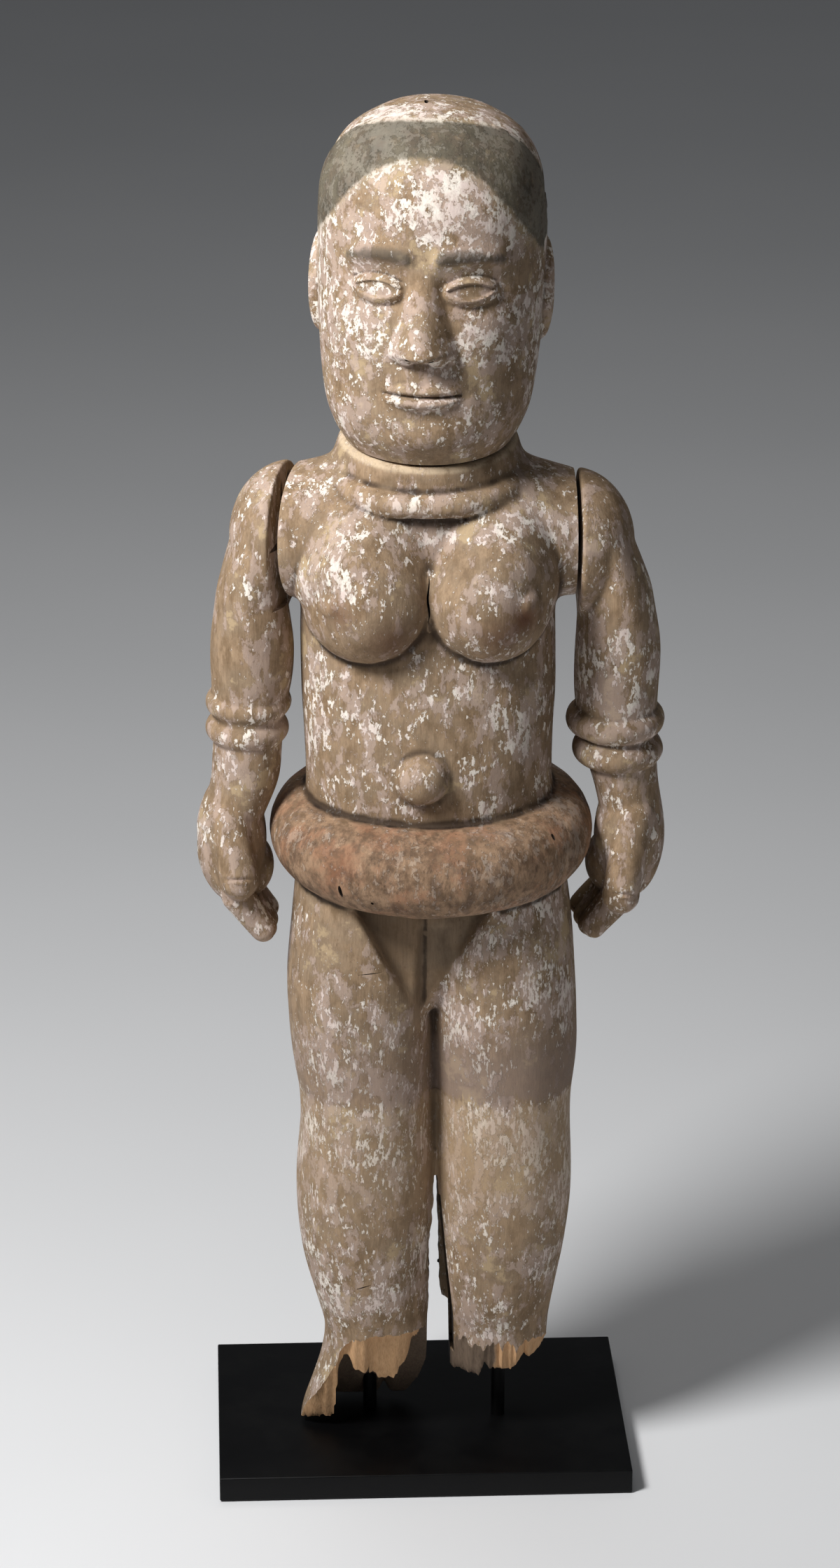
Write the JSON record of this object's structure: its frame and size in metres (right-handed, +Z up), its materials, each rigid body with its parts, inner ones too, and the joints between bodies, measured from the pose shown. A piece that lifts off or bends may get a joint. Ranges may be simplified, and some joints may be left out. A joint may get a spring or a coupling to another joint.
{
  "type": "carved wooden figure",
  "caption": "Carved wooden female figure with separate arms and head, a thick waist roll and broken-off feet, held over a flat black stand plate by slim posts.",
  "frame": {"origin": "centre of the stand plate's underside", "axes": "+Z up, the figure faces -Y, and +X is on the right of someone who looks at its front"},
  "size_m": [0.2318, 0.162, 0.7029],
  "materials": {
    "painted_wood": "matt weathered wood with flaking white, pink and ochre paint",
    "black_steel": "satin black powder coat"
  },
  "bodies": {
    "root": {"body": "painted_wood", "head": "painted_wood", "arm_right": "painted_wood", "arm_left": "painted_wood", "stand_plate": "black_steel", "stand_post_right": "black_steel", "stand_post_left": "black_steel"}
  },
  "joints": []
}
